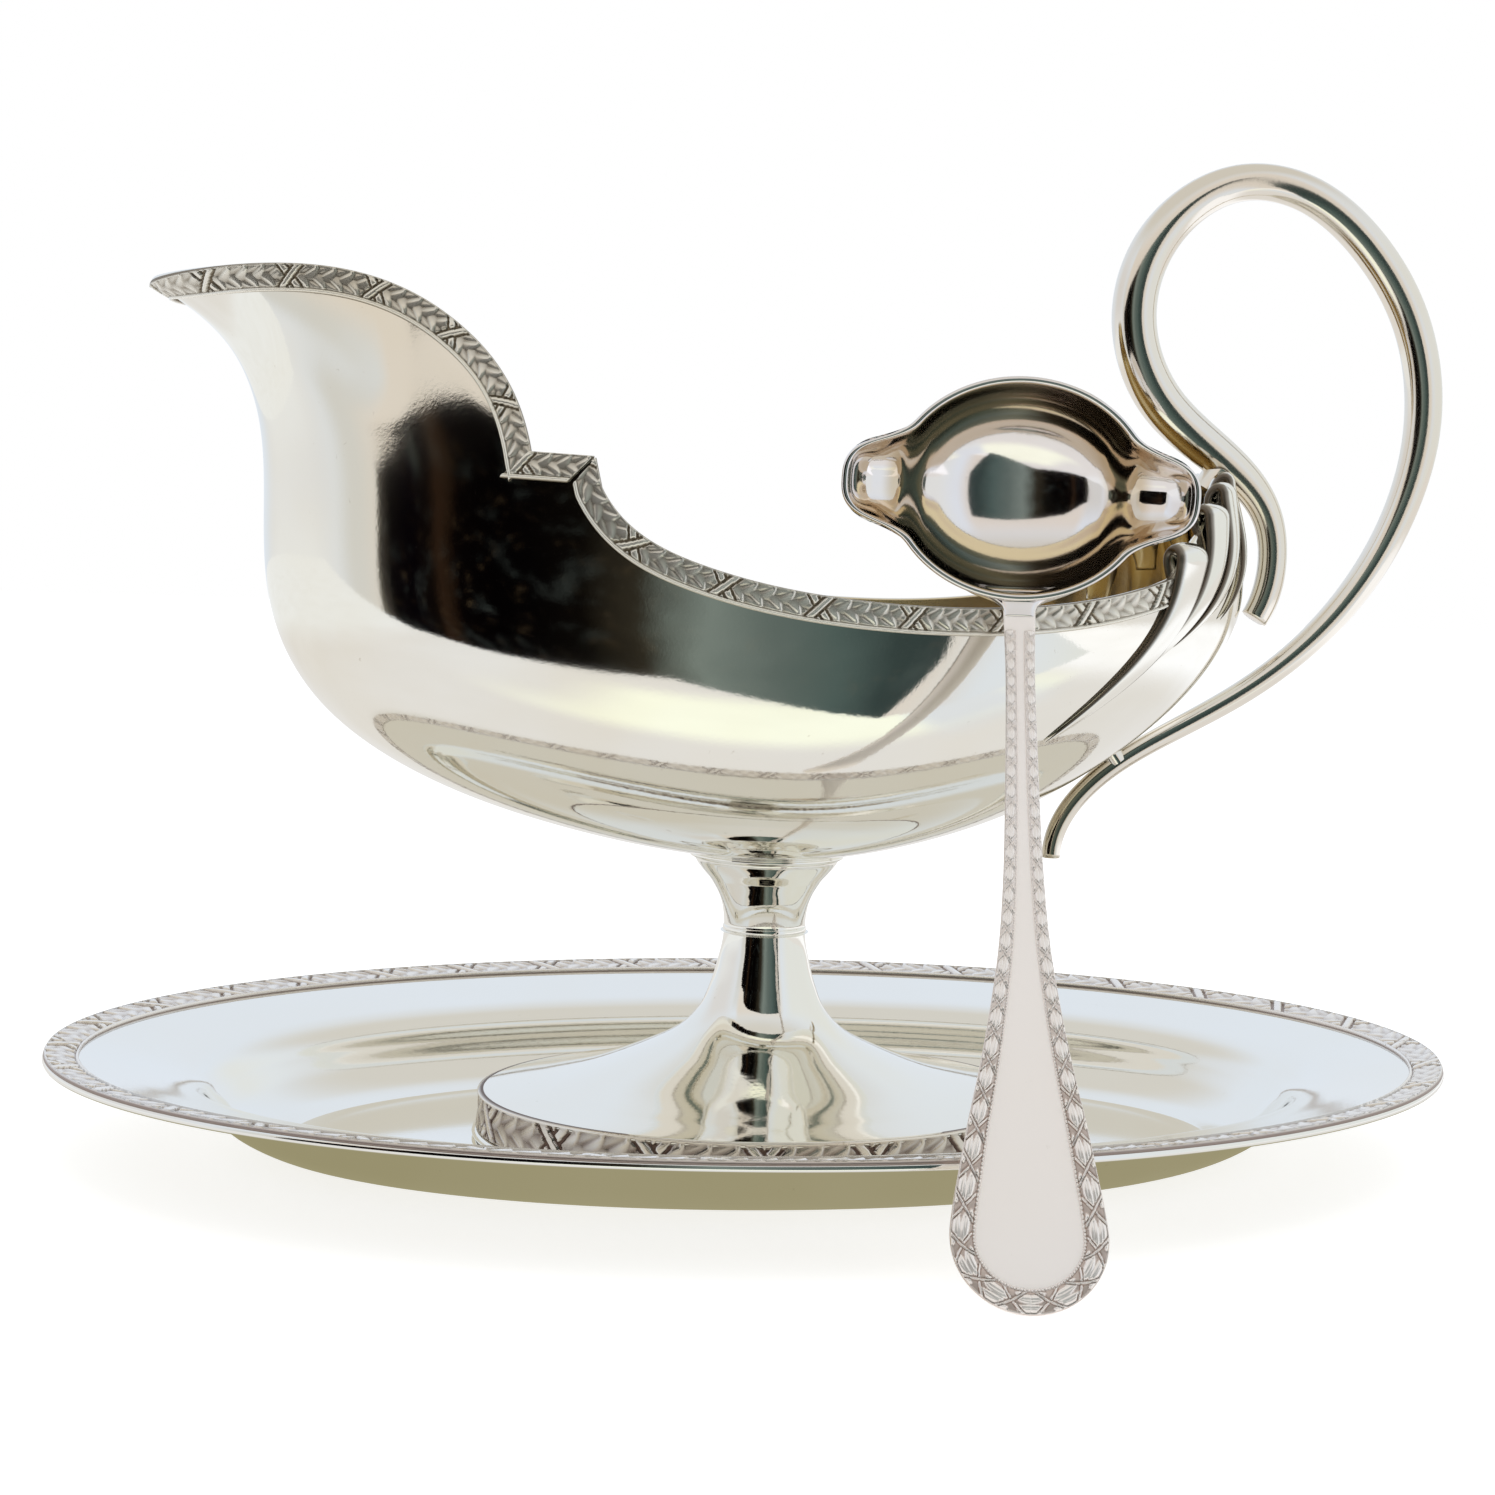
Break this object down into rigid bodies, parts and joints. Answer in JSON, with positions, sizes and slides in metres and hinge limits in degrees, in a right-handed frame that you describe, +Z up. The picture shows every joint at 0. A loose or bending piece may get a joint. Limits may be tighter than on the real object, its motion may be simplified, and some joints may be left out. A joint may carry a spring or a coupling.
{
  "type": "sauce boat",
  "caption": "Helmet-shaped pedestal sauce boat with a high looped handle, oval underplate and double-lipped ladle, all in polished silver with leaf borders.",
  "frame": {"origin": "centre of the underplate's base, on the table", "axes": "-X towards the spout, +X towards the handle, -Y the side the ladle leans on, +Z up"},
  "size_m": [0.2506, 0.1792, 0.1797],
  "materials": {
    "polished_silver": "polished silver, fine wear scratches",
    "chased_border": "chased leaf relief, oxidised in the recesses",
    "bowl_silver": "polished outside, warm gilt wash inside",
    "plate_silver": "polished, lightly worn",
    "ladle_silver": "polished, satin on the handle panel"
  },
  "bodies": {
    "plate": {"plate_dish": "plate_silver", "plate_border_left": "chased_border", "plate_border_right": "chased_border"},
    "boat": {"bowl_body": "bowl_silver", "spout_border_left": "chased_border", "spout_border_right": "chased_border", "shoulder_border_left": "chased_border", "shoulder_border_right": "chased_border", "side_border_left": "chased_border", "side_border_right": "chased_border", "crest_left": "polished_silver", "crest_right": "polished_silver", "handle": "polished_silver", "handle_pad_upper": "polished_silver", "handle_pad_lower": "polished_silver", "stem_collar": "polished_silver", "pedestal": "polished_silver", "foot_border": "chased_border", "foot_wire": "polished_silver"},
    "ladle": {"ladle_bowl": "ladle_silver", "ladle_lip_left": "ladle_silver", "ladle_lip_right": "ladle_silver", "ladle_heel": "ladle_silver", "ladle_handle": "ladle_silver", "ladle_border_left": "chased_border", "ladle_border_right": "chased_border"}
  },
  "joints": [
    {"name": "boat_lift", "type": "slide", "parent": "plate", "child": "boat", "axis": [0, 0, 1], "range_m": [0, 0.12]},
    {"name": "ladle_lift", "type": "slide", "parent": "boat", "child": "ladle", "axis": [0, -0.5, 0.866], "range_m": [0, 0.12]}
  ]
}
